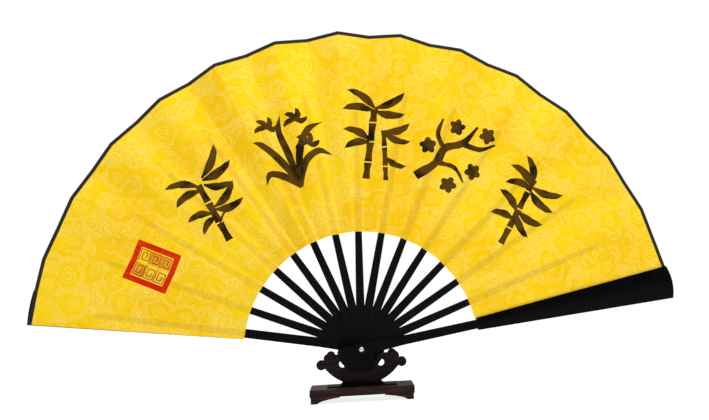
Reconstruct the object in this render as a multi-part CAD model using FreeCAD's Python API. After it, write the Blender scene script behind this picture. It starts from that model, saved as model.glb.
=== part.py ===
"""A folding hand fan standing open on a small carved wooden stand.

Millimetres, +Z up, -Y towards the viewer. The origin is on the table, under the middle of the stand.
Sticks are numbered from the left (rear) guard, 1, to the right (front) guard, 15. Each is drawn upright
with its pivot at (0, 0, 0), then leaned about the pivot pin and moved to its own level along the pin.
"""

import FreeCAD, Part
import math
import os
from FreeCAD import Vector

# ---------------------------------------------------------------- driving dimensions
STICKS = 15  # two guards and thirteen ribs
MIDDLE = 8  # the rib that stands upright
LAST_BEHIND_BOARD = 5  # ribs 2 to 5 and the rear guard stand behind the cradle board
STEP = 11.5  # degrees between neighbouring sticks, fan open
PANEL = STEP / 2  # each leaf panel spans half of a step
PIVOT_Z = 48.0  # pivot pin above the table

LEAF_INNER, LEAF_OUTER = 112.0, 310.0  # radii of the leaf's edges
LEAF_T = 0.25  # leaf thickness
TAPE_W, TAPE_T = 3.2, 0.2  # edge binding: width of each lap, thickness

HEAD = 22.8  # end of every stick below the pivot
RIB_T, RIB_PITCH = 1.2, 1.5  # rib thickness, and spacing along the pin
RIB_HALF = {0: 5.2, 42: 4.05, 112: 3.3, 255: 2.0}  # half width of a rib at each radius
THICK_END = 111.5  # where a rib thins into its slip behind the leaf
SLIP_T = 0.45  # thickness of that slip

GUARD_T = 3.6
GUARD_GAP = 0.6  # between a guard and the rib beside it
GUARD_HALF = {0: 6.0, 40: 4.4, 114: 4.2}
BLADE_START, BLADE_END, TIP_BULGE = 113.0, 310.5, 2.6
REAR_BULGE = 0.9  # the rear guard hardly shows past the leaf
BLADE_HALF_DEG = 2.98  # the blade's edges run straight out from the pivot
LEAF_RECESS = 1.4  # the blade stands back this far from the stem to make room for the leaf
CROWN = 1.2  # how far the blade's outer face falls from its middle to its edges

PIN_R, PIN_RUN = 1.5, 0.05  # pivot pin, and its clearance in every stick
PIN_HEAD_R, PIN_HEAD_H = 2.25, 1.1

BOARD_T, BOARD_GAP = 3.0, 0.25  # cradle board, and its clearance to the ribs each side
RIM_R, RIM_Z = 44.7, 9.94  # lower rim of the board: radius, and centre above the pivot
RISER_TOP, RISER_FOOT = -30.8, -35.2  # below the pivot
PLINTH_HALF_X, PLINTH_HALF_Y, PLINTH_T = 33.0, 10.5, 1.2  # thin foot of the riser
TENON_HALF, TENON_DEPTH = 12.0, 3.0

BASE_HALF_X, BASE_HALF_Y = 49.0, 20.5
BASE_H = PIVOT_Z + RISER_FOOT
SCREW_X, SCREW_R, SCREW_HEAD_R = 15.0, 1.2, 2.4
SCREW_GRIP = 3.6  # how far the screws reach into the riser
FIT = 0.02  # glued and screwed joints


# ---------------------------------------------------------------- drawing helpers
def outline(start, *steps):
    """A closed face in the XZ plane. A step is a point, or a pair (point on the arc, end of the arc)."""
    here, edges = Vector(start[0], 0, start[1]), []
    for step in steps:
        if isinstance(step[0], tuple):
            through, end = (Vector(x, 0, z) for x, z in step)
            edges.append(Part.Arc(here, through, end).toShape())
        else:
            end = Vector(step[0], 0, step[1])
            edges.append(Part.LineSegment(here, end).toShape())
        here = end
    if here.distanceToPoint(edges[0].Vertexes[0].Point) > 1e-6:
        edges.append(Part.LineSegment(here, edges[0].Vertexes[0].Point).toShape())
    return Part.Face(Part.Wire(edges))


def slab(face, y0, y1):
    """The XZ face made solid between two levels of Y."""
    moved = face.copy()
    moved.translate(Vector(0, y0, 0))
    return moved.extrude(Vector(0, y1 - y0, 0))


def disc(x, z, radius, y0, y1):
    return Part.makeCylinder(radius, y1 - y0, Vector(x, y0, z), Vector(0, 1, 0))


def both_sides(shape):
    """The shape and its mirror image across the middle of the stand."""
    return shape.fuse(shape.mirror(Vector(0, 0, 0), Vector(1, 0, 0)))


def lean(i):
    """Degrees of stick i from upright, positive to the right."""
    return (i - MIDDLE) * STEP


def placed(shape, degrees, y=0.0):
    """The upright shape leaned about the pin, at level y."""
    moved = shape.copy()
    moved.rotate(Vector(0, 0, 0), Vector(0, 1, 0), degrees)
    moved.translate(Vector(0, y, PIVOT_Z))
    return moved


def save(name, *solids):
    shape = solids[0] if len(solids) == 1 else Part.makeCompound(solids)
    assert shape.isValid() and shape.Volume > 0, name
    shape.exportStep(f"parts/{name}.step")


# ---------------------------------------------------------------- levels along the pin
def rib_level(i):
    """Middle of rib i along Y. Low numbers are at the back."""
    first = BOARD_T / 2 + BOARD_GAP + RIB_T / 2
    if i <= LAST_BEHIND_BOARD:
        return first + (LAST_BEHIND_BOARD - i) * RIB_PITCH
    return -first - (i - LAST_BEHIND_BOARD - 1) * RIB_PITCH


FRONT_INNER = rib_level(STICKS - 1) - RIB_T / 2 - GUARD_GAP  # inner face of the front guard
REAR_INNER = rib_level(2) + RIB_T / 2 + GUARD_GAP


def panel_level(i):
    """Middle of the leaf panel that is glued to stick i."""
    if i == 1:
        return REAR_INNER + LEAF_RECESS - LEAF_T / 2
    if i == STICKS:
        return FRONT_INNER - LEAF_RECESS + LEAF_T / 2
    return rib_level(i) - LEAF_T / 2


def fold_level(i):
    """Middle of the loose panel between sticks i and i + 1, halfway between its neighbours' faces."""
    behind = panel_level(i) - LEAF_T / 2
    in_front = panel_level(i + 1) + LEAF_T / 2
    if i + 1 < STICKS:
        in_front += SLIP_T
    return (behind + in_front) / 2


# ---------------------------------------------------------------- the fan
def tapered(half_at, head_half):
    """A stick's face: a round head below the pivot, then straight tapers through the given half widths."""
    stations = sorted(half_at.items())
    right = [(half, z) for z, half in stations]
    left = [(-half, z) for z, half in reversed(stations)]
    start = (-head_half, head_half - HEAD)
    return outline(start, ((0, -HEAD), (head_half, head_half - HEAD)), *right, *left)


def rib():
    """A rib: a stick below the leaf and a thin slip behind it, in one piece."""
    face = tapered(RIB_HALF, RIB_HALF[0])
    reach = max(RIB_HALF)
    below = Part.makeBox(20, RIB_T, HEAD + THICK_END, Vector(-10, -RIB_T / 2, -HEAD))
    behind = Part.makeBox(20, SLIP_T, reach - THICK_END, Vector(-10, 0, THICK_END))
    whole = slab(face, -RIB_T, RIB_T)
    stick = whole.common(below).fuse(whole.common(behind)).removeSplitter()
    return stick.cut(disc(0, 0, PIN_R + PIN_RUN, -RIB_T, RIB_T))


def blade_section(z, half, fall):
    """Cross-section of a guard's blade at radius z: flat inside, crowned outside."""
    inner, outer = -LEAF_RECESS, -GUARD_T
    corners = [Vector(half, inner, z), Vector(-half, inner, z), Vector(-half, outer + fall, z)]
    crown_end = Vector(half, outer + fall, z)
    crown = Part.Arc(corners[2], Vector(0, outer, z), crown_end).toShape()
    sides = [Part.LineSegment(a, b).toShape() for a, b in zip(corners, corners[1:])]
    return Part.Wire([*sides, crown, Part.LineSegment(crown_end, corners[0]).toShape()])


def front_guard(bulge=TIP_BULGE):
    """A guard with its inner face at Y = 0 and its outer face towards -Y."""
    stem = slab(tapered(GUARD_HALF, GUARD_HALF[0]), -GUARD_T, 0)
    outer_edges = [e for e in stem.Edges if e.BoundBox.YMax < 1e-6 - GUARD_T]
    stem = stem.makeFillet(0.7, outer_edges)
    spread = math.tan(math.radians(BLADE_HALF_DEG))
    beyond = BLADE_END + 2 * TIP_BULGE
    narrow = blade_section(BLADE_START, BLADE_START * spread, CROWN / 2)
    wide = blade_section(beyond, beyond * spread, CROWN)
    blade = Part.makeLoft([narrow, wide], True, True)
    tip = BLADE_END * spread
    shoulder = BLADE_START * spread
    trim = outline(
        (-shoulder, BLADE_START),
        (shoulder, BLADE_START),
        (tip, BLADE_END),
        ((0, BLADE_END + bulge), (-tip, BLADE_END)),
    )
    blade = blade.common(slab(trim, -2 * GUARD_T, 1))
    recess = Part.makeBox(40, LEAF_RECESS + 1, 20, Vector(-20, -LEAF_RECESS, THICK_END))
    whole = stem.cut(recess).fuse(blade).removeSplitter()
    return whole.cut(disc(0, 0, PIN_R + PIN_RUN, -2 * GUARD_T, 1))


def sector(inner, outer, half_deg=PANEL / 2):
    """The flat face of one leaf panel between two radii: straight edges between radial folds."""
    spread = math.radians(half_deg)
    near, far = inner * math.sin(spread), outer * math.sin(spread)
    low, high = inner * math.cos(spread), outer * math.cos(spread)
    return outline((-near, low), (near, low), (far, high), (-far, high))


def panel():
    return slab(sector(LEAF_INNER, LEAF_OUTER), -LEAF_T / 2, LEAF_T / 2)


def tape(front_lap=True, rear_lap=True):
    """One panel's length of the binding, folded over the leaf's outer edge."""
    front = -LEAF_T / 2 - (TAPE_T if front_lap else 0)
    rear = LEAF_T / 2 + (TAPE_T if rear_lap else 0)
    band = slab(sector(LEAF_OUTER - TAPE_W, LEAF_OUTER + TAPE_T), front, rear)
    return band.cut(panel())


def pin_head():
    """A domed head standing on Y = 0, towards -Y."""
    ball_r = (PIN_HEAD_R**2 + PIN_HEAD_H**2) / (2 * PIN_HEAD_H)
    ball = Part.makeSphere(ball_r, Vector(0, ball_r - PIN_HEAD_H, 0))
    return ball.common(disc(0, 0, PIN_HEAD_R, -2 * PIN_HEAD_H, 0))


def make_fan():
    rib_shape, guard, leaf = rib(), front_guard(), panel()
    rear_guard = front_guard(REAR_BULGE).mirror(Vector(0, 0, 0), Vector(0, 1, 0))
    save("guard_back", placed(rear_guard, lean(1), REAR_INNER))
    save("guard_front", placed(guard, lean(STICKS), FRONT_INNER))
    for i in range(2, STICKS):
        save(f"rib_{i:02d}", placed(rib_shape, lean(i), rib_level(i)))
    for i in range(1, STICKS + 1):
        save(f"leaf_pleat_{i:02d}", placed(leaf, lean(i), panel_level(i)))
    for i in range(1, STICKS):
        save(f"leaf_fold_{i:02d}", placed(leaf, lean(i + 0.5), fold_level(i)))

    lengths = [placed(tape(rear_lap=False), lean(1), panel_level(1))]
    lengths += [placed(tape(), lean(i), panel_level(i)) for i in range(2, STICKS)]
    lengths += [placed(tape(front_lap=False), lean(STICKS), panel_level(STICKS))]
    lengths += [placed(tape(), lean(i + 0.5), fold_level(i)) for i in range(1, STICKS)]
    save("edge_binding", *lengths)

    front_face, rear_face = FRONT_INNER - GUARD_T, REAR_INNER + GUARD_T
    head_gap = PIN_RUN
    save("pivot_pin", placed(disc(0, 0, PIN_R, front_face - head_gap, rear_face + head_gap), 0))
    head = pin_head()
    save("pin_head_front", placed(head, 0, front_face - head_gap))
    rear_head = head.mirror(Vector(0, 0, 0), Vector(0, 1, 0))
    save("pin_head_back", placed(rear_head, 0, rear_face + head_gap))


# ---------------------------------------------------------------- the stand
EYE = (18.3, -14.4, 3.3)  # pierced eye of the cradle board: x, z, radius
LOBES = [(38.3, -14.4, 4.7), (31.8, -8.5, 4.3), (29.1, -5.9, 4.2)]  # the scroll's end, outermost first
LOBE_RISE = [0.2, 0.8, 0.0]  # how far each stands proud of the board
ARM_Z = -5.2  # top of the arms between post and lobes


def crescent():
    """The board's outline: a round rim below, straight arms above."""
    rim_x = 36.2
    rim_end = RIM_Z - math.sqrt(RIM_R**2 - rim_x**2)
    return outline(
        (-rim_x, rim_end),
        ((0, RIM_Z - RIM_R), (rim_x, rim_end)),
        (29.5, ARM_Z),
        (-29.5, ARM_Z),
    )


def slot():
    """The gap between the post and the hooked end of the right arm. It opens into the eye below."""
    return outline(
        (9.2, ARM_Z + 1),
        (10.2, -7.9),
        ((12.9, -11.6), (16.0, -14.2)),
        (16.9, -12.8),
        ((14.6, -10.6), (15.8, -7.8)),
        ((17.6, -5.9), (20.2, ARM_Z)),
        (20.2, ARM_Z + 1),
    )


def post():
    """The middle of the board, which rises between the slots to the pin's notch."""
    return outline(
        (-9.2, ARM_Z - 1),
        (9.2, ARM_Z - 1),
        ((7.6, -2.0), (5.4, 1.6)),
        ((4.6, 2.7), (3.4, 3.2)),
        (-3.4, 3.2),
        ((-4.6, 2.7), (-5.4, 1.6)),
        ((-7.6, -2.0), (-9.2, ARM_Z - 1)),
    )


def cradle_board():
    """The upright board that the sticks straddle. Its middle post holds the pin in a notch."""
    half = BOARD_T / 2
    solid = slab(crescent(), -half, half).fuse(slab(post(), -half, half))
    solid = solid.cut(both_sides(slab(slot(), -half, half)))
    solid = solid.cut(both_sides(disc(*EYE, -half, half)))
    solid = solid.cut(Part.makeBox(100, 20, 20, Vector(-50, -10, RISER_TOP - 20)))
    tenon_top = RISER_TOP + 0.5
    tenon_foot = RISER_FOOT - TENON_DEPTH
    corner = Vector(-TENON_HALF, -half, tenon_foot)
    solid = solid.fuse(Part.makeBox(2 * TENON_HALF, BOARD_T, tenon_top - tenon_foot, corner))
    for (x, z, radius), rise in zip(LOBES, LOBE_RISE):
        solid = solid.fuse(both_sides(disc(x, z, radius, -half - rise, half + rise)))
    solid = solid.cut(both_sides(carving()))
    notch_r = PIN_R + 0.2
    notch = disc(0, 0, notch_r, -half, half)
    notch = notch.fuse(Part.makeBox(2 * notch_r, BOARD_T, 10, Vector(-notch_r, -half, 0)))
    return solid.cut(notch).removeSplitter()


def carving():
    """The shallow relief on both faces: a ring on the middle lobe and a curved line along the arm."""
    depth, width = 0.45, 0.6
    x, z, radius = LOBES[1]
    face = BOARD_T / 2 + LOBE_RISE[1]
    ring = disc(x, z, radius - 0.6, -9, 9).cut(disc(x, z, radius - 0.6 - width, -9, 9))
    ring = ring.cut(disc(x, z, radius, -face + depth, face - depth))
    line_r, line_x, line_z = 13.0, 33.6, -6.0
    line = disc(line_x, line_z, line_r + width / 2, -9, 9)
    line = line.cut(disc(line_x, line_z, line_r - width / 2, -9, 9))
    line = line.common(Part.makeBox(8.6, 18, 7.6, Vector(21.0, -9, -17.2)))
    face = BOARD_T / 2
    line = line.cut(Part.makeBox(60, 2 * (face - depth), 60, Vector(0, -face + depth, -50)))
    return ring.fuse(line)


def riser():
    """The flared block between the board and the base, with its thin spreading plinth."""

    def flared(top, foot):
        shoulder = RISER_FOOT + PLINTH_T
        middle = (top + (foot - top) * 0.32, shoulder + (RISER_TOP - shoulder) * 0.38)
        return outline(
            (-foot, shoulder),
            (foot, shoulder),
            (middle, (top, RISER_TOP)),
            (-top, RISER_TOP),
            ((-middle[0], middle[1]), (-foot, shoulder)),
        )

    across = slab(flared(18.3, 22.6), -20, 20)
    along = slab(flared(5.0, 9.0), -30, 30)
    along.rotate(Vector(0, 0, 0), Vector(0, 0, 1), 90)
    corner = Vector(-PLINTH_HALF_X, -PLINTH_HALF_Y, RISER_FOOT)
    plinth = Part.makeBox(2 * PLINTH_HALF_X, 2 * PLINTH_HALF_Y, PLINTH_T, corner)
    block = plinth.fuse(across.common(along)).removeSplitter()
    block = block.cut(mortise(RISER_FOOT - 5, 20))
    for x in (-SCREW_X, SCREW_X):
        block = block.cut(Part.makeCylinder(SCREW_R + FIT, SCREW_GRIP + 0.3, Vector(x, 0, RISER_FOOT)))
    return block


def mortise(z, height):
    """The slot that the board's tenon is glued into."""
    corner = Vector(-TENON_HALF - FIT, -BOARD_T / 2 - FIT, z)
    return Part.makeBox(2 * (TENON_HALF + FIT), BOARD_T + 2 * FIT, height, corner)


ARCH_MIDDLE_X, ARCH_MIDDLE = 20.8, 5.9  # the apron's underside: half width and height of its middle
FOOT_X, FOOT_END_X, FOOT_H = 42.2, 47.9, 5.0  # the runners, set in from the slab above them


def base():
    """The base: a slab on two runners, with an apron between them that drops towards its ends."""
    right = [
        (ARCH_MIDDLE_X, ARCH_MIDDLE),
        (ARCH_MIDDLE_X + 0.4, 4.8),
        (ARCH_MIDDLE_X + 1.4, 5.0),
        ((29.0, 4.1), (35.5, 2.8)),
        ((39.6, 1.5), (FOOT_X, 0)),
        (FOOT_END_X, 0),
        (FOOT_END_X, FOOT_H),
        (BASE_HALF_X, FOOT_H + 1.3),
        (BASE_HALF_X, BASE_H),
    ]
    left = [
        (-BASE_HALF_X, BASE_H),
        (-BASE_HALF_X, FOOT_H + 1.3),
        (-FOOT_END_X, FOOT_H),
        (-FOOT_END_X, 0),
        (-FOOT_X, 0),
        ((-39.6, 1.5), (-35.5, 2.8)),
        ((-29.0, 4.1), (-ARCH_MIDDLE_X - 1.4, 5.0)),
        (-ARCH_MIDDLE_X - 0.4, 4.8),
        (-ARCH_MIDDLE_X, ARCH_MIDDLE),
    ]
    block = slab(outline(*right, *left), -BASE_HALF_Y, BASE_HALF_Y)
    upright = [e for e in block.Edges if abs(e.CenterOfMass.x) > 47 and e.BoundBox.YLength < 0.1]
    top_corners = [e for e in upright if e.BoundBox.ZMin > FOOT_H and e.BoundBox.XLength < 0.1]
    block = block.makeFillet(1.2, top_corners)
    top_edges = [e for e in block.Edges if e.BoundBox.ZMin > BASE_H - 1e-6]
    block = block.makeChamfer(0.8, top_edges)
    block = block.cut(mortise(BASE_H - TENON_DEPTH - FIT, TENON_DEPTH + 1))
    for x in (-SCREW_X, SCREW_X):
        block = block.cut(screw(x, SCREW_R + FIT, SCREW_HEAD_R + FIT, 20))
    return block


def screw(x, shank_r, head_r, length):
    """A countersunk screw driven up from under the apron; also the hole that it makes."""
    foot = Vector(x, 0, ARCH_MIDDLE)
    head = Part.makeCone(head_r, shank_r, head_r - shank_r, foot)
    return head.fuse(Part.makeCylinder(shank_r, length, foot)).removeSplitter()


def make_stand():
    save("cradle_board", placed(cradle_board(), 0))
    save("stand_riser", placed(riser(), 0))
    save("stand_base", base())
    length = BASE_H + SCREW_GRIP - ARCH_MIDDLE
    slot = Part.makeBox(2 * SCREW_HEAD_R, 0.7, 0.6, Vector(-SCREW_HEAD_R, -0.35, ARCH_MIDDLE))
    screws = []
    for x in (-SCREW_X, SCREW_X):
        cut = slot.copy()
        cut.translate(Vector(x, 0, 0))
        screws.append(screw(x, SCREW_R, SCREW_HEAD_R, length).cut(cut))
    save("stand_screws", *screws)


os.makedirs("parts", exist_ok=True)
make_fan()
make_stand()
print("wrote", len(os.listdir("parts")), "sub-parts")
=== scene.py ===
"""The looks of the folding fan on its carved stand: cloth, ribs, brushwork, materials, light and camera.

Metres, in the CAD frame, except where a name's comment says mm. The leaf is a row of flat panels between
straight folds that meet at the pivot. A pleat is glued to its stick, and a loose panel joins each pleat to
the next. On a panel a place is given by u, from -1 at its left fold to 1 at its right fold, and reach, the
distance from the pivot along its middle.
"""

import math

import bmesh
import bpy
from mathutils import Matrix, Vector, noise


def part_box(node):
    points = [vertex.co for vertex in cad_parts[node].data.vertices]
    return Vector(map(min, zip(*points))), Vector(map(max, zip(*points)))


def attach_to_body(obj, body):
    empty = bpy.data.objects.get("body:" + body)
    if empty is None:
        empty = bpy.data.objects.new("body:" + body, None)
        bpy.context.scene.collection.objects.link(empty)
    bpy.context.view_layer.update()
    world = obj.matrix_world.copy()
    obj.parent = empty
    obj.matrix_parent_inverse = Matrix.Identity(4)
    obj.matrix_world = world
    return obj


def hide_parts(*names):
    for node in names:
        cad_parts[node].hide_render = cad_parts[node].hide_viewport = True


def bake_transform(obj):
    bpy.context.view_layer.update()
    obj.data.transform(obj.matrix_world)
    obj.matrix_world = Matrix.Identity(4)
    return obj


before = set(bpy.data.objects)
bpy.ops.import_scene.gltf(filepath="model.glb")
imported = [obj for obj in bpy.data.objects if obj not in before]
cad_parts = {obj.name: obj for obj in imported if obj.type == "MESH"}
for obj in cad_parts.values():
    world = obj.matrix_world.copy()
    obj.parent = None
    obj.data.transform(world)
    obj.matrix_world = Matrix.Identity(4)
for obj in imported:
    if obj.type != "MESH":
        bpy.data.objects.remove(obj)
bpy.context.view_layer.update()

MM = 0.001

# ---------------------------------------------------------------- sizes taken from the frame
STICKS = 15
MIDDLE = 8  # the stick that stands upright


def middle(node, axis):
    low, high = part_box(node)
    return (low[axis] + high[axis]) / 2


PIVOT_Z = middle("pivot_pin", 2)
upright_low, upright_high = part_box("leaf_pleat_08")
HALF = math.atan2(upright_high[0], upright_high[2] - PIVOT_Z)  # half of one panel's angle
STEP = 4 * HALF  # from one stick to the next: a pleat and a loose panel
REACH_IN, REACH_OUT = upright_low[2] - PIVOT_Z, upright_high[2] - PIVOT_Z
LEAF_T = upright_high[1] - upright_low[1]

# ---------------------------------------------------------------- sizes that only the looks use
PLEAT_GAIN = 1.0 * MM  # a pleat's edges swing this much further for every stick in from a guard
SLACK = 0.28 * MM  # how far the cloth bellies between two folds
TAPE_W, TAPE_RISE, TAPE_OVER = 3.2 * MM, 0.08 * MM, 0.2 * MM
LOOSE_MARK = 4  # added to u in a loose panel's map, to tell it from a pleat
FOLD_ROUNDING = 0.0045  # height of a fold's soft edge, as a share of its distance from the pivot
PANEL_ROWS, BINDING_ROWS = 44, 2
SWELL_SCALE = 21  # how quickly the belly changes over the leaf, per metre

INK_RISE, INK_SINK = 0.035 * MM, 0.05 * MM  # how far ink stands on the leaf, and how deep it is rooted
INK_LAYER, INK_LAYERS = 0.006 * MM, 9  # strokes that cross lie at slightly different heights
INK_SCALE = 1.02  # size of the brush motifs against their drawings

RIB_HALF = ((0.0, 5.2), (42.0, 4.05), (112.0, 3.3), (255.0, 2.0))  # mm: reach, half width
RIB_HEAD = 17.6  # mm from the pivot to the middle of a rib's round head
RIB_THICK, SLIP_THICK = 0.6, 0.225  # mm, half thicknesses
RIB_ROUNDING = 0.22  # mm
TWIST_START, TWIST_END = 92, 111.5  # mm: where a rib turns from the pin's plane to its pleat's
SLIP_START = 112  # mm: from here on a rib is a thin slip behind the leaf
SHADOW_START, SHADOW_END = (0.112, 0.0034), (0.255, 0.0023)  # a slip's painted shadow, seen through the cloth: reach, half width
PIN_RUN = 0.05 * MM  # clearance round the pin


def lean(stick):
    return (stick - MIDDLE) * STEP


def pleat_depth(stick):
    """How far the pleat's left fold comes forward, and its right fold goes back, at the outer edge."""
    place = min(stick, STICKS + 1 - stick)
    return place * PLEAT_GAIN if place > 1 else 0.0


# ---------------------------------------------------------------- leaf panels
class Panel:
    """One flat panel: its name, its middle's angle, and the (level, swing) of its left and right fold."""

    def __init__(self, name, angle, left, right):
        self.name, self.angle, self.left, self.right = name, angle, left, right

    def fold_y(self, side, reach):
        level, swing = side
        return level + swing * reach / REACH_OUT

    def slope(self, reach):
        across = 2 * reach * math.tan(HALF)
        return (self.fold_y(self.right, reach) - self.fold_y(self.left, reach)) / across

    def point(self, u, reach, lift=0.0):
        """The place on the panel, lifted off its middle surface towards the viewer."""
        s = u * reach * math.tan(HALF)
        share = (u + 1) / 2
        y = self.fold_y(self.left, reach) * (1 - share) + self.fold_y(self.right, reach) * share
        flat = turned(s, y, reach, self.angle)
        swell = noise.noise(Vector((flat.x * SWELL_SCALE, 7.7, flat.z * SWELL_SCALE)))
        belly = SLACK * (1 - u * u) * (0.55 + 0.45 * swell)
        slope = self.slope(reach)
        steep = math.hypot(1, slope)
        mitre = u**8  # at a fold both panels are lifted straight forward, so that they still meet
        aside = (lift + belly) * (1 - mitre) * slope / steep
        forward = (lift + belly) * ((1 - mitre) / steep + mitre * steep)
        return turned(s + aside, y - forward, reach, self.angle)


def turned(s, y, reach, angle):
    """A place beside an upright stick, carried round the pivot to the given lean."""
    cos, sin = math.cos(angle), math.sin(angle)
    return Vector((s * cos + reach * sin, y, PIVOT_Z - s * sin + reach * cos))


def make_panels():
    """All the panels from left to right. Odd places in the list are loose panels."""
    level = {i: middle(f"leaf_pleat_{i:02d}", 1) for i in range(1, STICKS + 1)}
    panels = []
    for i in range(1, STICKS + 1):
        swing = pleat_depth(i)
        panels.append(Panel(f"pleat_{i:02d}", lean(i), (level[i], -swing), (level[i], swing)))
        if i < STICKS:
            after = (level[i + 1], -pleat_depth(i + 1))
            panels.append(Panel(f"fold_{i:02d}", lean(i + 0.5), (level[i], swing), after))
    return panels


PANELS = make_panels()


def attach(piece, panel):
    """A pleat's pieces ride its stick. A loose panel's pieces stay where they are, their placing baked into
    their mesh.
    """
    kind, number = panel.name.split("_")
    stick = int(number)
    if kind == "pleat":
        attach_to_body(piece, f"stick_{stick:02d}")
        return
    start = panel.point(-1, REACH_OUT)
    end = panel.point(1, REACH_OUT)
    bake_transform(piece)


# ---------------------------------------------------------------- meshes
def new_piece(name, mesh, material, smooth=False):
    mesh.materials.append(material)
    for polygon in mesh.polygons:
        polygon.use_smooth = smooth
    piece = bpy.data.objects.new(name, mesh)
    bpy.context.scene.collection.objects.link(piece)
    return piece


def thick_sheet(name, faces, front, back, maps):
    """A closed thin solid from a sheet's faces, with its front and back points and its named UV maps."""
    count = len(front)
    edges = {}
    for face in faces:
        for a, b in zip(face, face[1:] + face[:1]):
            edges[(a, b)] = edges.get((a, b), 0) + 1
    rims = [(a, b) for a, b in edges if (b, a) not in edges]
    solid = [list(face) for face in faces]
    solid += [[count + v for v in reversed(face)] for face in faces]
    solid += [[b, a, count + a, count + b] for a, b in rims]
    mesh = bpy.data.meshes.new(name)
    mesh.from_pydata([*front, *back], [], solid)
    for title, places in maps.items():
        layer = mesh.uv_layers.new(name=title)
        for loop in mesh.loops:
            layer.data[loop.index].uv = places[loop.vertex_index % count]
    mesh.validate()
    mesh.update()
    return mesh


def grid_faces(rows, columns):
    faces = []
    for row in range(rows):
        for column in range(columns):
            corner = row * (columns + 1) + column
            faces.append([corner, corner + 1, corner + columns + 2, corner + columns + 1])
    return faces


def leaf_map(point):
    """Place on the whole leaf, laid out flat as it stands open."""
    return point.x, point.z - PIVOT_Z


def panel_solid(name, panel, reach, lifts, rows, columns=8):
    """Part of a panel between two reaches, as a thin solid between two lifts."""
    spots = []
    for row in range(rows + 1):
        along = reach[0] + (reach[1] - reach[0]) * row / rows
        spots += [(2 * column / columns - 1, along) for column in range(columns + 1)]
    front = [panel.point(u, along, lifts[1]) for u, along in spots]
    back = [panel.point(u, along, lifts[0]) for u, along in spots]
    loose = 0 if panel.name.startswith("pleat") else LOOSE_MARK
    maps = {
        "Leaf": [leaf_map(point) for point in front],
        "Pleat": [(loose + u, along) for u, along in spots],
    }
    return thick_sheet(name, grid_faces(rows, columns), front, back, maps)


def make_cloth(panel, cloth):
    name = f"leaf_{panel.name}"
    mesh = panel_solid(name, panel, (REACH_IN, REACH_OUT), (-LEAF_T / 2, LEAF_T / 2), PANEL_ROWS)
    piece = new_piece(f"{name}_cloth", mesh, cloth)
    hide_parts(name)
    attach(piece, panel)
    outer = (panel.point(1, REACH_OUT) - panel.point(-1, REACH_OUT)).length


def make_binding(panel, tape):
    """The panel's length of tape. It laps both faces, but not where the end panels meet the guards."""
    back = front = LEAF_T / 2 + TAPE_RISE
    if panel.name == "pleat_01":
        back = LEAF_T / 2
    if panel.name == f"pleat_{STICKS}":
        front = LEAF_T / 2
    reach = (REACH_OUT - TAPE_W, REACH_OUT + TAPE_OVER)
    mesh = panel_solid(f"binding_{panel.name}", panel, reach, (-back, front), BINDING_ROWS)
    piece = new_piece(f"binding_{panel.name}", mesh, tape)
    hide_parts("edge_binding")
    attach(piece, panel)


def make_leaf(cloth, tape):
    for panel in PANELS:
        make_cloth(panel, cloth)
        make_binding(panel, tape)


# ---------------------------------------------------------------- ribs
def between(table, x):
    """Straight-line value from a table of (x, value)."""
    for (x0, v0), (x1, v1) in zip(table, table[1:]):
        if x <= x1:
            return v0 + (v1 - v0) * (x - x0) / (x1 - x0)
    return table[-1][1]


def rib_stations():
    """From head to tip: (reach, half width, half thickness) in mm, and the share of the pleat's slope."""
    stations = []
    wide = RIB_HALF[0][1]
    for degrees in (78, 62, 46, 31, 15, 0):
        turn = math.radians(degrees)
        stations.append((-RIB_HEAD - wide * math.sin(turn), wide * math.cos(turn), RIB_THICK, 0))
    for reach in (0, 42, TWIST_START):
        stations.append((reach, between(RIB_HALF, reach), RIB_THICK, 0))
    steps = 5
    for step in range(1, steps + 1):
        share = step / steps
        reach = TWIST_START + (TWIST_END - TWIST_START) * share
        thick = RIB_THICK if step < steps else (RIB_THICK + SLIP_THICK) / 2
        stations.append((reach, between(RIB_HALF, reach), thick, share * share * (3 - 2 * share)))
    for reach in (SLIP_START + 0.2, 140, 170, 200, 230, 252.5):
        stations.append((reach, between(RIB_HALF, reach), SLIP_THICK, 1))
    for reach, narrowing in ((254, 0.8), (254.8, 0.4)):
        stations.append((reach, between(RIB_HALF, reach) * narrowing, SLIP_THICK, 1))
    return stations


def rib_mesh(stick, panel):
    """A rib with eight points at each station, its slip tilted to lie flat on its pleat."""
    level = middle(f"rib_{stick:02d}", 1) / MM
    points, places = [], []
    for reach, half, thick, share in rib_stations():
        slope = panel.slope(max(reach, 1) * MM) * share
        centre = level + (SLIP_THICK if reach > SLIP_START else 0)
        cut = min(RIB_ROUNDING, thick * 0.6, half * 0.5)
        ring = [(-half, thick - cut), (-half + cut, thick), (half - cut, thick), (half, thick - cut)]
        ring += [(s, -y) for s, y in reversed(ring)]
        for s, y in ring:
            points.append(turned(s * MM, (centre + y + slope * s) * MM, reach * MM, panel.angle))
            places.append((s * MM, reach * MM + 0.3 * stick))
    rings = len(points) // 8
    faces = [list(range(8))]
    for ring in range(rings - 1):
        start = 8 * ring
        for k in range(8):
            after = (k + 1) % 8
            faces.append([start + after, start + k, start + 8 + k, start + 8 + after])
    faces.append([8 * rings - 1 - k for k in range(8)])
    mesh = bpy.data.meshes.new(f"rib_{stick:02d}_shaped")
    mesh.from_pydata(points, [], faces)
    layer = mesh.uv_layers.new(name="Stick")
    for loop in mesh.loops:
        layer.data[loop.index].uv = places[loop.vertex_index]
    mesh.update()
    return outward(mesh)


def outward(mesh):
    """The mesh with all its faces turned outwards."""
    work = bmesh.new()
    work.from_mesh(mesh)
    bmesh.ops.recalc_face_normals(work, faces=work.faces)
    work.to_mesh(mesh)
    work.free()
    return mesh


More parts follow.
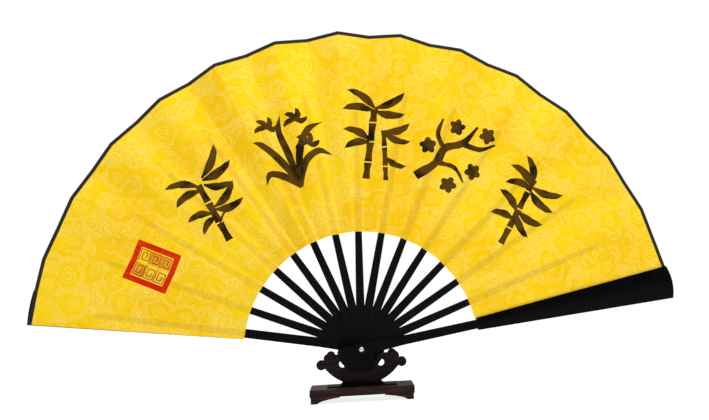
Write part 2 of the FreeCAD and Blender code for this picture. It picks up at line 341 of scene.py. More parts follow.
def make_drill():
    """A rod along the pin, as wide as the holes that the pin turns in."""
    low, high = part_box("pivot_pin")
    radius = (high[2] - low[2]) / 2 + PIN_RUN
    lying = Matrix.Translation((0, 0, PIVOT_Z)) @ Matrix.Rotation(math.pi / 2, 4, "X")
    work = bmesh.new()
    ends = {"radius1": radius, "radius2": radius, "depth": 2 * (high[1] - low[1])}
    bmesh.ops.create_cone(work, cap_ends=True, segments=40, matrix=lying, **ends)
    mesh = bpy.data.meshes.new("drill")
    work.to_mesh(mesh)
    work.free()
    drill = bpy.data.objects.new("drill", mesh)
    bpy.context.scene.collection.objects.link(drill)
    return drill


def bored(mesh, drill):
    """The mesh with the pin's hole through it."""
    blank = bpy.data.objects.new(mesh.name, mesh)
    bpy.context.scene.collection.objects.link(blank)
    cut = blank.modifiers.new("bore", "BOOLEAN")
    cut.operation, cut.solver, cut.object = "DIFFERENCE", "EXACT", drill
    ready = blank.evaluated_get(bpy.context.evaluated_depsgraph_get())
    result = bpy.data.meshes.new_from_object(ready)
    bpy.data.objects.remove(blank)
    return result


def make_ribs(lacquer):
    drill = make_drill()
    for stick in range(2, STICKS):
        mesh = bored(rib_mesh(stick, PANELS[2 * (stick - 1)]), drill)
        piece = new_piece(f"rib_{stick:02d}_shaped", mesh, lacquer)
        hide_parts(f"rib_{stick:02d}")
        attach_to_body(piece, f"stick_{stick:02d}")
    bpy.data.objects.remove(drill)


# ---------------------------------------------------------------- brushwork and seal on the leaf
class Strokes:
    """Flat strokes drawn on the leaf's plane, then cut at the folds and laid on the panels."""

    def __init__(self, centre, turn, scale=1.0):
        self.centre, self.turn, self.scale = centre, turn, scale
        self.work = bmesh.new()
        self.layer = self.work.verts.layers.float_vector.new("stroke")
        self.drawn = 0

    def place(self, point):
        cos, sin = math.cos(self.turn), math.sin(self.turn)
        x = (point[0] * cos + point[1] * sin) * self.scale
        z = (point[1] * cos - point[0] * sin) * self.scale
        return Vector(((self.centre[0] + x) * MM, 0, (self.centre[1] + z) * MM))

    def ribbon(self, path, widths, across=2):
        """A stroke along a path of (x, z) in mm, with a width at each of its points."""
        self.drawn += 1
        rows = []
        for k, here in enumerate(path):
            before, after = path[max(k - 1, 0)], path[min(k + 1, len(path) - 1)]
            along = Vector((after[0] - before[0], after[1] - before[1]))
            side = Vector((along.y, -along.x)).normalized() * widths[k] / 2
            row = []
            for c in range(across + 1):
                t = 2 * c / across - 1
                vertex = self.work.verts.new(self.place((here[0] + side.x * t, here[1] + side.y * t)))
                vertex[self.layer] = (k / (len(path) - 1), t, self.drawn)
                row.append(vertex)
            rows.append(row)
        for low, high in zip(rows, rows[1:]):
            for c in range(across):
                self.work.faces.new((low[c], high[c], high[c + 1], low[c + 1]))

    def brush(self, points, widths, rough=0.1):
        """A soft brush stroke through a few points, its width following the given pressure."""
        steps = 16
        path, wide = [], []
        for k in range(steps + 1):
            t = k / steps
            path.append(curve_at(points, t))
            at = t * (len(widths) - 1)
            low = min(int(at), len(widths) - 2)
            share = at - low
            share = share * share * (3 - 2 * share)
            width = widths[low] * (1 - share) + widths[low + 1] * share
            ripple = noise.noise(Vector((t * 9, self.drawn * 3.7, self.centre[0])))
            wide.append(max(0.25, width * (1 + rough * ripple)))
        self.ribbon(path, wide)

    def blade(self, start, degrees, length, width, bend=0.12):
        """A leaf-shaped stroke: thin, swelling, then drawn out to a point."""
        turn = math.radians(degrees)
        along = Vector((math.sin(turn), math.cos(turn)))
        side = Vector((along.y, -along.x))
        points = [
            Vector(start),
            Vector(start) + along * length * 0.4 + side * length * bend,
            Vector(start) + along * length * 0.75 + side * length * bend * 0.8,
            Vector(start) + along * length,
        ]
        self.brush(points, (width * 0.25, width, width * 0.75, 0.3))

    def bar(self, x0, z0, x1, z1, width):
        """A straight bar, divided so that it can follow the cloth."""
        steps = max(2, round(math.hypot(x1 - x0, z1 - z0) / 3))
        path = [(x0 + (x1 - x0) * k / steps, z0 + (z1 - z0) * k / steps) for k in range(steps + 1)]
        self.ribbon(path, [width] * (steps + 1))

    def pieces(self, title, material, slot):
        """Cut at every fold, then one piece for each panel that the strokes reach."""
        for k in range(2 * STICKS):
            angle = PANELS[0].angle + (2 * k - 1) * HALF
            normal = Vector((math.cos(angle), 0, -math.sin(angle)))
            everything = [*self.work.verts, *self.work.edges, *self.work.faces]
            bmesh.ops.bisect_plane(self.work, geom=everything, plane_co=(0, 0, 0), plane_no=normal)
        share = {}
        for face in self.work.faces:
            spot = face.calc_center_median()
            number = round((math.atan2(spot.x, spot.z) - PANELS[0].angle) / (2 * HALF))
            share.setdefault(number, []).append(face)
        for number in sorted(share):
            panel = PANELS[number]
            mesh = self.laid(f"{title}_{panel.name}", panel, share[number])
            attach(new_piece(f"{title}_{panel.name}", mesh, material), panel)

    def laid(self, name, panel, faces):
        """The faces as a thin solid on the panel, rooted just under the leaf's surface."""
        order, front, back, strokes = {}, [], [], []
        for face in faces:
            for vertex in face.verts:
                if vertex in order:
                    continue
                order[vertex] = len(order)
                angle = math.atan2(vertex.co.x, vertex.co.z) - panel.angle
                reach = math.hypot(vertex.co.x, vertex.co.z) * math.cos(angle)
                u = math.tan(angle) / math.tan(HALF)
                along, across, number = vertex[self.layer]
                lift = LEAF_T / 2 + INK_RISE + INK_LAYER * (number % INK_LAYERS)
                front.append(panel.point(u, reach, lift))
                back.append(panel.point(u, reach, LEAF_T / 2 - INK_SINK))
                strokes.append((along + 3.1 * number, across + 2.3 * number))
        lists = [[order[v] for v in face.verts] for face in faces]
        maps = {"Stroke": strokes, "Leaf": [leaf_map(point) for point in front]}
        mesh = thick_sheet(name, lists, front, back, maps)
        return outward(mesh)


def curve_at(points, t):
    """A smooth curve through the points (Catmull-Rom)."""
    spans = len(points) - 1
    k = min(int(t * spans), spans - 1)
    f = t * spans - k
    a, b = Vector(points[max(k - 1, 0)]), Vector(points[k])
    c, d = Vector(points[k + 1]), Vector(points[min(k + 2, spans)])
    second, third = 2 * a - 5 * b + 4 * c - d, 3 * b - a - 3 * c + d
    return 0.5 * (2 * b + (c - a) * f + second * f**2 + third * f**3)


def bamboo(strokes, foot, degrees, joints, width):
    """A stalk of short brush strokes, thicker at their ends. Returns the joints."""
    turn = math.radians(degrees)
    along = Vector((math.sin(turn), math.cos(turn)))
    here = Vector(foot)
    found = [here.copy()]
    for length in joints:
        end = here + along * length
        path = [here + along * 0.7, (here + end) / 2, end - along * 0.7]
        strokes.brush(path, (width, width * 0.8, width), 0.06)
        here = end
        found.append(here.copy())
    return found


def motif_bamboo_left(s):
    joints = bamboo(s, (-16, -36), 14, (20, 22, 20), 7)
    for start, degrees, length, width in (
        ((6, 26), 62, 34, 8), ((5, 24), 96, 32, 8.5), ((3, 20), 128, 27, 7.5),
        ((-2, 22), -52, 30, 7.5), ((-3, 18), -84, 27, 8), ((-5, -2), 78, 31, 8),
        ((-6, -4), 112, 29, 8), ((-10, -6), -66, 24, 7), ((-9, -10), -104, 21, 6.5),
    ):
        s.blade(start, degrees, length, width)
    s.brush([joints[1], joints[1] + Vector((9, 4)), joints[1] + Vector((15, 3))], (2.4, 2, 1))


def motif_orchid(s):
    base = (-4, -34)
    for points in (
        [base, (-14, -6), (-26, 14), (-34, 20)],
        [base, (-6, 0), (-8, 24), (-2, 38)],
        [base, (4, -4), (18, 16), (34, 20)],
        [base, (6, -14), (22, -6), (33, -14)],
        [base, (-16, -20), (-28, -14), (-34, -22)],
    ):
        s.brush(points, (3.2, 7.2, 6, 0.5))
    for centre in ((10, 28), (-18, 30), (14, 3)):
        for degrees in (-100, -40, 20, 85):
            s.blade(centre, degrees, 12, 5.6, 0.2)


def motif_bamboo_pair(s):
    bamboo(s, (-7, -36), 3, (17, 20, 19, 14), 7.5)
    bamboo(s, (12, -37), -6, (14, 19, 17), 5)
    for start, degrees, length, width in (
        ((-3, 34), -62, 32, 8), ((-3, 34), 58, 32, 8), ((-4, 32), -95, 30, 8),
        ((-2, 31), 92, 28, 8), ((7, 10), 64, 27, 7.5), ((7, 9), 100, 27, 7),
        ((-6, 3), -75, 27, 8), ((-6, 1), -112, 25, 7.5), ((10, -14), 108, 22, 6.5),
    ):
        s.blade(start, degrees, length, width)


def motif_plum(s):
    s.brush([(-26, -36), (-14, -16), (-12, 2), (2, 14), (8, 34)], (9, 8, 7.5, 6, 2.5), 0.3)
    s.brush([(-11, 0), (-24, 10), (-26, 26)], (6, 4.5, 2), 0.3)
    s.brush([(1, 13), (18, 14), (31, 26)], (5.5, 4.5, 1.6), 0.3)
    s.brush([(-13, -14), (4, -12), (18, -22)], (5.5, 4.5, 1.8), 0.3)
    for centre in ((22, -8), (-28, -4), (20, 30), (-10, 26), (6, -30)):
        for k in range(5):
            s.blade(centre, 72 * k + centre[0], 8.5, 7, 0.0)


def motif_bamboo_right(s):
    bamboo(s, (18, -36), -18, (18, 21, 20, 14), 6.5)
    for start, degrees, length, width in (
        ((-2, 28), -60, 29, 8), ((-1, 26), -92, 30, 8), ((0, 24), -124, 27, 7.5),
        ((0, 26), 58, 30, 8), ((1, 22), 88, 30, 8), ((7, -1), 72, 27, 8),
        ((8, -4), 108, 25, 7.5), ((6, -2), -86, 27, 8), ((10, -10), -118, 24, 7.5),
    ):
        s.blade(start, degrees, length, width)


INK_MOTIFS = (  # drawing, degrees from upright, mm from the pivot
    (motif_bamboo_left, -43.0, 199),
    (motif_orchid, -17.4, 201),
    (motif_bamboo_pair, 5.5, 200),
    (motif_plum, 27.8, 209),
    (motif_bamboo_right, 49.2, 203),
)


def make_brushwork(ink):
    for k, (draw, degrees, reach) in enumerate(INK_MOTIFS):
        turn = math.radians(degrees)
        strokes = Strokes((reach * math.sin(turn), reach * math.cos(turn)), turn, INK_SCALE)
        draw(strokes)
        strokes.pieces(f"brushwork_{k + 1}", ink, "leaf_cloth")


SEAL_ANGLE, SEAL_REACH = math.radians(-66.4), 213.5  # degrees of lean, and mm from the pivot
SEAL_HALF_X, SEAL_HALF_Z = 19.5, 21.5  # mm
SEAL_FRAME = 5.4  # mm
CELL_X, CELL_Z = 6.9, 10.4  # mm from the seal's middle to its cells: two columns and three rows
HATCHED = ((1, 0), (-1, 1), (1, -1))  # the cells (column, row) that are hatched
HATCH_HALF_X, HATCH_HALF_Z, HATCH_PITCH, HATCH_W = 6, 4.6, 1.15, 0.5  # mm
FRET_W = 0.75  # mm


def seal_strokes():
    centre = (SEAL_REACH * math.sin(SEAL_ANGLE), SEAL_REACH * math.cos(SEAL_ANGLE))
    return Strokes(centre, SEAL_ANGLE)


def make_seal(red, dark):
    """A square frame round six cells of plain fret, some of them hatched. It says nothing."""
    frame_strokes = seal_strokes()
    x, z, w = SEAL_HALF_X - SEAL_FRAME / 2, SEAL_HALF_Z - SEAL_FRAME / 2, SEAL_FRAME
    for side in (-1, 1):
        frame_strokes.bar(-SEAL_HALF_X, side * z, SEAL_HALF_X, side * z, w)
        frame_strokes.bar(side * x, -z + w / 2, side * x, z - w / 2, w)
    frame_strokes.pieces("seal_frame", red, "leaf_cloth")
    fret, hatch = seal_strokes(), seal_strokes()
    for column in (-1, 1):
        for row in (-1, 0, 1):
            x, z = CELL_X * column, CELL_Z * row
            if (column, row) in HATCHED:
                hatching(hatch, x, z)
            meander(fret, x, z, column)
    fret.pieces("seal_fret", dark, "leaf_cloth")
    hatch.pieces("seal_hatch", red, "leaf_cloth")


def hatching(strokes, x, z):
    for k in range(9):
        level = z - HATCH_HALF_Z + HATCH_PITCH * k
        strokes.bar(x - HATCH_HALF_X, level, x + HATCH_HALF_X, level, HATCH_W)


def meander(strokes, x, z, flip):
    """One square turn of a plain fret."""
    turn = [(-6.2, 4.6), (5.6, 4.6), (5.6, -4.4), (-3.8, -4.4)]
    turn += [(-3.8, 2.2), (3.2, 2.2), (3.2, -1.9), (-1.2, -1.9)]
    for (x0, z0), (x1, z1) in zip(turn, turn[1:]):
        strokes.bar(x + x0 * flip, z + z0, x + x1 * flip, z + z1, FRET_W)


# ---------------------------------------------------------------- materials
def srgb(red, green, blue):
    """A colour as seen on screen, 0 to 255, in the linear values that shaders use."""
    linear = []
    for value in (red, green, blue):
        v = value / 255
        linear.append(v / 12.92 if v <= 0.04045 else ((v + 0.055) / 1.055) ** 2.4)
    return (*linear, 1.0)


class Graph:
    """Short names for the shader nodes that the materials are built from."""

    def __init__(self, name, **settings):
        self.material = bpy.data.materials.new(name)
        self.material.use_nodes = True
        self.tree = self.material.node_tree
        self.shader = self.tree.nodes["Principled BSDF"]
        for title, value in settings.items():
            self.shader.inputs[title.replace("_", " ")].default_value = value

    def node(self, kind, settings=None, **inputs):
        node = self.tree.nodes.new(f"ShaderNode{kind}")
        for title, value in (settings or {}).items():
            setattr(node, title, value)
        for title, value in inputs.items():
            self.put(node.inputs[title.replace("_", " ")], value)
        return node

    def put(self, socket, value):
        if isinstance(value, bpy.types.NodeSocket):
            self.tree.links.new(value, socket)
        else:
            socket.default_value = value

    def math(self, operation, *values):
        node = self.node("Math", {"operation": operation})
        for socket, value in zip(node.inputs, values):
            self.put(socket, value)
        return node.outputs[0]

    def vector(self, operation, *values):
        node = self.node("VectorMath", {"operation": operation})
        for socket, value in zip(node.inputs, values):
            self.put(socket, value)
        return node.outputs["Value" if operation in ("LENGTH", "DISTANCE") else "Vector"]

    def ease(self, value, low, high):
        """0 at low and 1 at high, smoothly. Low may be the larger."""
        node = self.node("MapRange", {"interpolation_type": "SMOOTHSTEP"}, Value=value)
        flip = low > high
        self.put(node.inputs["From Min"], high if flip else low)
        self.put(node.inputs["From Max"], low if flip else high)
        self.put(node.inputs["To Min"], 1.0 if flip else 0.0)
        self.put(node.inputs["To Max"], 0.0 if flip else 1.0)
        return node.outputs["Result"]

    def mix(self, factor, a, b):
        node = self.node("Mix", {"data_type": "RGBA"})
        self.put(node.inputs["Factor"], factor)
        self.put(node.inputs["A"], a)
        self.put(node.inputs["B"], b)
        return node.outputs["Result"]

    def noise(self, vector, scale, detail=2.0, roughness=0.5, flat=False):
        dimensions = "2D" if flat else "3D"
        node = self.node("TexNoise", {"noise_dimensions": dimensions}, Vector=vector, Scale=scale)
        self.put(node.inputs["Detail"], detail)
        self.put(node.inputs["Roughness"], roughness)
        return node.outputs["Fac"]

    def cells(self, vector, scale, randomness=1.0):
        settings = {"voronoi_dimensions": "2D"}
        node = self.node("TexVoronoi", settings, Vector=vector, Scale=scale, Randomness=randomness)
        return node.outputs

    def uv(self, name):
        return self.node("UVMap", {"uv_map": name}).outputs["UV"]

    def place(self):
        return self.node("TexCoord").outputs["Object"]

    def split(self, vector):
        return self.node("SeparateXYZ", Vector=vector).outputs

    def join(self, x, y, z=0.0):
        return self.node("CombineXYZ", X=x, Y=y, Z=z).outputs["Vector"]

    def bump(self, height, distance, strength=1.0):
        node = self.node("Bump", Height=height, Distance=distance, Strength=strength)
        self.put(self.shader.inputs["Normal"], node.outputs["Normal"])

    def colour(self, value):
        self.put(self.shader.inputs["Base Color"], value)

    def rough(self, value):
        self.put(self.shader.inputs["Roughness"], value)


THREAD = 0.0004  # half width of a woven line


def line(g, distance, half_width=THREAD):
    """1 on a drawn line where distance is near 0, fading at its edges. Both in metres."""
    return g.ease(g.math("ABSOLUTE", distance), half_width * 1.5, half_width * 0.5)


def strongest(g, *values):
    """The largest of the values."""
    result = values[0]
    for value in values[1:]:
        result = g.math("MAXIMUM", result, value)
    return result


def product(g, *values):
    """All the values multiplied together."""
    result = values[0]
    for value in values[1:]:
        result = g.math("MULTIPLY", result, value)
    return result


def cloud_curls(g, place, size, pitch, outline):
    """Curls in a scatter of cells, each in a scalloped double outline. Returns lines, and 1 where clear."""
    cell = g.cells(place, 1 / size, 0.65)
    local = g.split(g.vector("SUBTRACT", place, cell["Position"]))
    tint = g.node("SeparateColor", Color=cell["Color"]).outputs
    radius = g.vector("LENGTH", g.join(local[0], local[1]))
    angle = g.math("ARCTAN2", local[1], local[0])
    hand = g.math("SIGN", g.math("SUBTRACT", tint[0], 0.5))
    wound = product(g, g.math("DIVIDE", angle, math.tau), hand)
    turns = g.math("ADD", g.math("SUBTRACT", g.math("DIVIDE", radius, pitch), wound), tint[1])
    off = g.math("SUBTRACT", g.math("FRACT", turns), 0.5)
    spiral = line(g, product(g, off, pitch))
    limit = g.math("MULTIPLY_ADD", tint[2], outline * 0.25, outline * 0.5)
    inside = g.ease(g.math("SUBTRACT", limit, radius), 0.0, 0.0008)
    lobes = g.math("COSINE", g.math("MULTIPLY_ADD", angle, 2.5, g.math("MULTIPLY", tint[1], 6.0)))
    edge = product(g, g.math("MULTIPLY_ADD", g.math("ABSOLUTE", lobes), 0.22, 0.85), outline)
    beyond = g.math("SUBTRACT", radius, edge)
    first = line(g, beyond)
    second = line(g, g.math("SUBTRACT", beyond, 0.0019), 0.00035)
    around = g.math("ADD", angle, g.math("MULTIPLY", tint[0], 9.0))
    gaps = g.ease(g.math("SINE", around), -0.85, -0.6)
    lines = strongest(g, product(g, spiral, inside), product(g, strongest(g, first, second), gaps))
    return lines, g.ease(beyond, 0.002, 0.0035)


LARGE_CLOUDS = (0.034, 0.003, 0.0108)  # cell, spacing of the curl's turns, radius of the outline
SMALL_CLOUDS = (0.021, 0.0024, 0.006)
PATCH_LEVEL = 0.53  # where the slow noise passes this, the weave is a flecked patch


def brocade(g, place):
    """The woven figure: clouds, and flecked outlined patches between them. Returns lines, patch, flecks."""
    wobble = g.node("TexNoise", {"noise_dimensions": "2D"}, Vector=place, Scale=34.0, Detail=0.0)
    shift = g.vector("SUBTRACT", wobble.outputs["Color"], (0.5, 0.5, 0.5))
    bent = g.vector("MULTIPLY_ADD", shift, (0.009, 0.009, 0.0), place)
    field = g.noise(bent, 28.0, 1.2, 0.45, flat=True)
    patch = g.ease(field, PATCH_LEVEL, PATCH_LEVEL + 0.03)
    rim = line(g, product(g, g.math("SUBTRACT", field, PATCH_LEVEL), 0.1))
    large, clear = cloud_curls(g, bent, *LARGE_CLOUDS)
    moved = g.vector("ADD", bent, (0.213, 0.131, 0.0))
    small, _ = cloud_curls(g, moved, *SMALL_CLOUDS)
    small = product(g, small, clear, g.math("SUBTRACT", 1.0, patch))
    strands = g.math("FRACT", product(g, g.noise(bent, 46.0, 1.0, 0.5, flat=True), 7.0))
    strand = product(g, line(g, product(g, g.math("SUBTRACT", strands, 0.5), 0.0035)), patch, clear)
    lines = strongest(g, large, small, product(g, rim, clear), product(g, strand, 0.7))
    patch = product(g, patch, clear)
    flecks = g.ease(g.cells(place, 520.0)["Distance"], 0.5, 0.25)
    return lines, patch, product(g, flecks, patch)


def leaf_colour(g, place, figure):
    """Returns the cloth's colour, and the fine mottle that it is built on."""
    lines, patch, flecks = figure
    broad = g.noise(place, 13.0, 2.0, 0.55, flat=True)
    mottle = g.noise(place, 170.0, 2.0, 0.6, flat=True)
    base = g.mix(g.ease(broad, 0.35, 0.65), srgb(242, 194, 0), srgb(245, 205, 6))
    base = g.mix(product(g, g.ease(mottle, 0.35, 0.7), 0.14), base, srgb(250, 220, 84))
    base = g.mix(product(g, patch, 0.5), base, srgb(250, 218, 76))
    base = g.mix(product(g, flecks, 0.36), base, srgb(222, 174, 16))
    return g.mix(product(g, lines, 0.46), base, srgb(252, 226, 124)), mottle


def painted_slip_shadow(g, u, reach):
    """1 over the slip that is glued behind a pleat, with soft edges. There the slip's shadow through the
    cloth is painted into the leaf's colour.
    """
    aside = g.math("ABSOLUTE", product(g, u, reach, math.tan(HALF)))
    slip = g.node("MapRange", Value=reach)
    for title, start, end in zip(("From", "To"), SHADOW_START, SHADOW_END):
        slip.inputs[f"{title} Min"].default_value = start
        slip.inputs[f"{title} Max"].default_value = end
    over = g.math("SUBTRACT", aside, slip.outputs["Result"])
    return product(g, g.ease(over, 0.0012, -0.0012), g.ease(reach, 0.258, 0.249))


def leaf_relief(g, place, fold, reach, lines):
    """Height of the cloth in metres: rounded folds, soft creases along the sticks, wrinkles and weave."""
    spots = g.split(place)
    warp = g.math("SINE", product(g, spots[0], math.tau / 0.0007))
    weft = g.math("SINE", product(g, spots[1], math.tau / 0.0007))
    weave = product(g, g.math("ADD", warp, weft), 0.00001)
    angle = g.math("ARCTAN2", spots[0], spots[1])
    creased = g.join(g.math("MULTIPLY", angle, 10.0), g.math("MULTIPLY", reach, 9.0))
    creases = product(g, g.noise(creased, 1.0, 2.0, 0.5), 0.0022)
    wrinkle = g.math("ADD", creases, product(g, g.noise(place, 42.0, 2.0, 0.5, flat=True), 0.0006))
    rounded = product(g, fold, reach, FOLD_ROUNDING)
    return g.math("ADD", g.math("ADD", weave, wrinkle), g.math("ADD", rounded, product(g, lines, 0.00003)))


def leaf_material():
    g = Graph("leaf_brocade", Sheen_Weight=0.02, Sheen_Roughness=0.4, Specular_IOR_Level=0.08)
    place = g.uv("Leaf")
    figure = brocade(g, place)
    base, mottle = leaf_colour(g, place, figure)

    pleat = g.split(g.uv("Pleat"))
    loose = g.math("GREATER_THAN", pleat[0], LOOSE_MARK / 2)
    u, reach = g.math("SUBTRACT", pleat[0], product(g, loose, LOOSE_MARK)), pleat[1]
    from_middle = g.math("ABSOLUTE", u)
    shade = product(g, painted_slip_shadow(g, u, reach), g.math("SUBTRACT", 1.0, loose))
    uneven = g.math("MULTIPLY_ADD", mottle, 0.36, 0.06)
    # painted shadow: the leaf's colour is darkened, unevenly, where the slip behind a pleat shows through
    # the cloth
    base = g.mix(product(g, shade, uneven), base, srgb(158, 124, 52))
    # A pale line along each fold: partly wear of the crease, partly a painted highlight of the lit fold
    # edge.
    fold_highlight_and_wear = g.ease(from_middle, 0.93, 1.0)
    g.colour(g.mix(product(g, fold_highlight_and_wear, 0.25), base, srgb(252, 214, 80)))

    side = g.math("MULTIPLY_ADD", loose, -2.0, 1.0)
    fold = product(g, g.math("POWER", from_middle, 3.0), g.math("SIGN", u), side)
    g.bump(leaf_relief(g, place, fold, reach, figure[0]), 1.0)
    g.rough(g.mix(figure[0], (0.62, 0.62, 0.62, 1), (0.45, 0.45, 0.45, 1)))
    return g.material


def tape_material():
    g = Graph("binding_tape", Sheen_Weight=0.25, Specular_IOR_Level=0.2)
    place = g.uv("Leaf")
    spots = g.split(place)
    warp = g.math("SINE", g.math("MULTIPLY", g.math("ADD", spots[0], spots[1]), math.tau / 0.0009))
    weft = g.math("SINE", g.math("MULTIPLY", g.math("SUBTRACT", spots[0], spots[1]), math.tau / 0.0009))
    twill = g.math("MULTIPLY_ADD", g.math("MULTIPLY", warp, weft), 0.5, 0.5)
    fuzz = g.noise(place, 900.0, 3.0, flat=True)
    shade = g.math("MULTIPLY", g.math("ADD", twill, fuzz), 0.5)
    g.colour(g.mix(shade, srgb(10, 8, 9), srgb(34, 27, 27)))
    g.rough(g.math("MULTIPLY_ADD", fuzz, 0.2, 0.6))
    g.bump(shade, 0.00008, 0.7)
    return g.material


def radial(g):
    """Place round the pivot, for grain along a stick: distance round at 0.2 m, reach, and depth."""
    spots = g.split(g.vector("SUBTRACT", g.place(), (0.0, 0.0, PIVOT_Z)))
    around = g.math("MULTIPLY", g.math("ARCTAN2", spots[0], spots[2]), 0.2)
    reach = g.vector("LENGTH", g.join(spots[0], 0.0, spots[2]))
    return around, reach, spots[1]


def rib_material():
    g = Graph("rib_lacquer", Specular_IOR_Level=0.06)
    spots = g.split(g.uv("Stick"))
    grain_place = g.join(g.math("MULTIPLY", spots[0], 900.0), g.math("MULTIPLY", spots[1], 16.0))
    grain = g.noise(grain_place, 1.0, 4.0, 0.6)
    scuffs = g.noise(g.join(spots[0], spots[1]), 160.0, 3.0, 0.6)
    tone = g.math("MULTIPLY", g.math("ADD", grain, g.ease(scuffs, 0.5, 0.75)), 0.5)
    g.colour(g.mix(tone, srgb(4, 3, 4), srgb(20, 16, 17)))
    g.rough(g.math("MULTIPLY_ADD", grain, 0.2, 0.34))
    g.bump(grain, 0.00005, 0.4)
    return g.material


def guard_material():
    g = Graph("guard_lacquer", Specular_IOR_Level=0.05, Coat_Weight=0.02, Coat_Roughness=0.3)
    around, reach, depth = radial(g)
    grain_place = g.join(g.math("MULTIPLY", around, 500.0), g.math("MULTIPLY", reach, 12.0), depth)
    grain = g.noise(grain_place, 1.0, 4.0, 0.6)
    scuffs = g.noise(g.join(around, reach, depth), 120.0, 4.0, 0.65)
    tone = g.math("MULTIPLY", g.math("ADD", grain, g.ease(scuffs, 0.52, 0.72)), 0.5)
    g.colour(g.mix(tone, srgb(1, 0, 2), srgb(6, 4, 11)))
    g.rough(g.math("MULTIPLY_ADD", g.ease(scuffs, 0.45, 0.7), 0.12, 0.2))
    g.bump(g.math("ADD", grain, g.math("MULTIPLY", scuffs, 0.6)), 0.00006, 0.3)
    return g.material


def wood_material(name, dark, light, glint=0.07):
    """Rosewood with its grain along X, a little paler where its edges are worn."""
    g = Graph(name, Specular_IOR_Level=glint)
    place = g.place()
    height = g.split(place)[2]
    bent = g.noise(g.vector("MULTIPLY", place, (22.0, 160.0, 160.0)), 1.0, 3.0, 0.55)
    rings = g.math("SINE", g.math("MULTIPLY_ADD", bent, 22.0, g.math("MULTIPLY", height, 900.0)))
    fibres = g.noise(g.vector("MULTIPLY", place, (60.0, 1400.0, 1400.0)), 1.0, 3.0, 0.6)
    slow = g.math("MULTIPLY_ADD", bent, 0.6, g.math("MULTIPLY", fibres, 0.3))
    tone = g.math("MULTIPLY_ADD", rings, 0.18, slow)
    base = g.mix(g.ease(tone, 0.25, 0.85), dark, light)
    edge = g.node("Bevel", {"samples": 4}, Radius=0.0006).outputs["Normal"]
    normal = g.node("NewGeometry").outputs["Normal"]
    worn = g.ease(g.vector("DISTANCE", edge, normal), 0.08, 0.6)
    base = g.mix(g.math("MULTIPLY", worn, g.ease(fibres, 0.3, 0.65)), base, srgb(70, 48, 44))
    g.colour(base)
    g.rough(g.math("MULTIPLY_ADD", fibres, 0.22, 0.34))
    g.bump(g.math("ADD", fibres, g.math("MULTIPLY", rings, 0.15)), 0.00008, 0.4)
    return g.material


def metal_material(name, dark, light, rough):
    """Metal turned on a lathe: faint rings round the pin's axis, and haze."""
    g = Graph(name, Metallic=1.0)
    place = g.place()
    spots = g.split(g.vector("SUBTRACT", place, (0.0, 0.0, PIVOT_Z)))
    radius = g.vector("LENGTH", g.join(spots[0], 0.0, spots[2]))
    turned_rings = g.math("SINE", g.math("MULTIPLY", radius, math.tau / 0.00022))
    haze = g.noise(place, 900.0, 3.0, 0.6)
    tone = g.math("MULTIPLY_ADD", turned_rings, 0.12, haze)
    g.colour(g.mix(g.ease(tone, 0.2, 0.8), dark, light))
    g.rough(g.math("MULTIPLY_ADD", haze, 0.2, rough))
    g.bump(tone, 0.00002, 0.4)
    return g.material


def ink_material():
    g = Graph("brush_ink", Specular_IOR_Level=0.08)
    stroke = g.split(g.uv("Stroke"))
    drawn = g.join(g.math("MULTIPLY", stroke[0], 2.0), g.math("MULTIPLY", stroke[1], 5.0))
    streaks = g.noise(drawn, 1.0, 3.0, 0.6)
    pools = g.noise(g.uv("Leaf"), 60.0, 2.0, 0.5, flat=True)
    washed = g.math("MULTIPLY_ADD", streaks, 0.5, g.math("MULTIPLY", pools, 0.7))
    g.colour(g.mix(g.ease(washed, 0.46, 0.66), srgb(26, 18, 2), srgb(84, 58, 6)))
    g.rough(g.math("MULTIPLY_ADD", streaks, 0.3, 0.5))
    g.bump(streaks, 0.00004, 0.4)
    return g.material


def stamp_material(name, strong, faint):
    g = Graph(name, Specular_IOR_Level=0.06)
    place = g.uv("Leaf")
    patchy = g.noise(place, 320.0, 3.0, 0.65, flat=True)
    broad = g.noise(place, 50.0, 1.0, flat=True)
    worn = g.math("MULTIPLY_ADD", broad, 0.5, g.math("MULTIPLY", patchy, 0.6))
    g.colour(g.mix(g.ease(worn, 0.45, 0.75), strong, faint))
    g.rough(g.math("MULTIPLY_ADD", patchy, 0.2, 0.55))
    g.bump(patchy, 0.00003, 0.4)
    return g.material


def floor_material():
    g = Graph("studio_floor", Specular_IOR_Level=0.0, Emission_Strength=0.82)
    g.put(g.shader.inputs["Emission Color"], (1.0, 1.0, 1.0, 1.0))
    g.colour(g.mix(g.noise(g.place(), 3.0), (0.4, 0.4, 0.4, 1), (0.42, 0.42, 0.415, 1)))
    g.rough(0.7)
    return g.material


def give(material, *nodes):
    """Put the material on the CAD's own nodes."""
    for name in nodes:
        for slot in bpy.data.objects[name].material_slots:
            slot.material = material


# ---------------------------------------------------------------- studio
CAMERA_AT = (-0.00496, -0.83952, 0.11157)
CAMERA_YAW, CAMERA_PITCH, CAMERA_ROLL = 0.12987, 0.11399, -0.0392  # radians
CAMERA_LENS = 43.218  # mm, on a 36 mm wide sensor
CAMERA_SHIFT = (-0.15233, -0.04231)


def make_camera():
    data = bpy.data.cameras.new("camera")
    data.lens, data.sensor_width = CAMERA_LENS, 36
    data.shift_x, data.shift_y = CAMERA_SHIFT
    data.clip_start, data.clip_end = 0.01, 100
    yaw, pitch = CAMERA_YAW, CAMERA_PITCH
    ahead = Vector((math.sin(yaw) * math.cos(pitch), math.cos(yaw) * math.cos(pitch), math.sin(pitch)))
    right = ahead.cross(Vector((0, 0, 1))).normalized()
    up = right.cross(ahead)
    cos, sin = math.cos(CAMERA_ROLL), math.sin(CAMERA_ROLL)
    right, up = right * cos + up * sin, up * cos - right * sin
    turn = Matrix((right, up, -ahead)).transposed()
    camera = bpy.data.objects.new("camera", data)
    camera.matrix_world = Matrix.Translation(CAMERA_AT) @ turn.to_4x4()
    bpy.context.scene.collection.objects.link(camera)
    bpy.context.scene.camera = camera


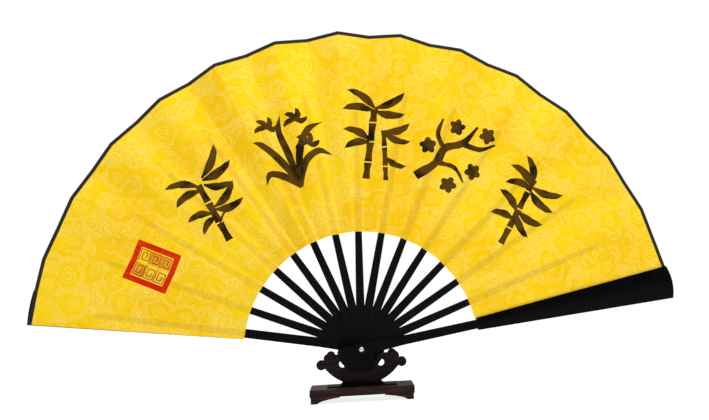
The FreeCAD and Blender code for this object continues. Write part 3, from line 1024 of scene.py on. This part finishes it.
def area_light(name, place, aim, size, power):
    data = bpy.data.lights.new(name, "AREA")
    data.shape, data.size, data.energy = "DISK", size, power
    light = bpy.data.objects.new(name, data)
    light.location = place
    light.rotation_euler = (Vector(aim) - Vector(place)).to_track_quat("-Z", "Y").to_euler()
    bpy.context.scene.collection.objects.link(light)


SKY_LIGHT, SKY_SEEN = 0.43, 1.0  # the white surroundings: how they light the object, and how they look
FLOOR_HALF, FLOOR_DROP = 15, 0.4 * MM
LIGHTS = {  # place, what it is aimed at, diameter, watts
    "key": ((0.16, -0.6, 1.15), (0, 0, 0.25), 0.35, 8.3),
    "back": ((-0.4, 1.3, 0.9), (0, 0, 0.2), 0.8, 4.0),
}


def make_floor():
    floor = bpy.data.meshes.new("studio_floor")
    work = bmesh.new()
    bmesh.ops.create_grid(work, x_segments=24, y_segments=24, size=FLOOR_HALF)
    work.to_mesh(floor)
    work.free()
    floor.materials.append(floor_material())
    stage = bpy.data.objects.new("studio_floor", floor)
    stage.location.z = -FLOOR_DROP
    bpy.context.scene.collection.objects.link(stage)


def make_sky():
    """A plain white world that lights the object less strongly than it shows."""
    world = bpy.data.worlds.new("studio")
    bpy.context.scene.world = world
    world.use_nodes = True
    sky = world.node_tree.nodes["Background"]
    sky.inputs["Color"].default_value = (1.0, 1.0, 1.0, 1)
    seen = world.node_tree.nodes.new("ShaderNodeLightPath")
    level = world.node_tree.nodes.new("ShaderNodeMapRange")
    level.inputs["To Min"].default_value, level.inputs["To Max"].default_value = SKY_LIGHT, SKY_SEEN
    world.node_tree.links.new(seen.outputs["Is Camera Ray"], level.inputs["Value"])
    world.node_tree.links.new(level.outputs["Result"], sky.inputs["Strength"])


def make_studio():
    make_floor()
    make_sky()
    for name, (place, aim, size, power) in LIGHTS.items():
        area_light(name, place, aim, size, power)
    bpy.context.scene.view_settings.view_transform = "Standard"


# ---------------------------------------------------------------- everything
make_leaf(leaf_material(), tape_material())
make_ribs(rib_material())
make_brushwork(ink_material())
make_seal(
    stamp_material("seal_red", srgb(198, 32, 0), srgb(212, 56, 4)),
    stamp_material("seal_line", srgb(128, 40, 8), srgb(176, 84, 20)),
)
give(guard_material(), "guard_front", "guard_back")
give(wood_material("stand_rosewood", srgb(24, 14, 15), srgb(40, 25, 26)), "cradle_board")
# Painted shade: the riser's rosewood is a nearly black copy of the board's, darkened for the shadow under
# the cradle board.
give(wood_material("stained_rosewood", srgb(2, 1, 1), srgb(9, 4, 5), 0.02), "stand_riser")
give(wood_material("polished_rosewood", srgb(34, 20, 21), srgb(58, 36, 36)), "stand_base")
pin_metal = metal_material("pin_metal", srgb(196, 190, 168), srgb(232, 228, 208), 0.25)
give(pin_metal, "pivot_pin", "pin_head_front", "pin_head_back")
give(metal_material("screw_steel", srgb(120, 120, 122), srgb(168, 168, 170), 0.35), "stand_screws")
make_studio()
make_camera()
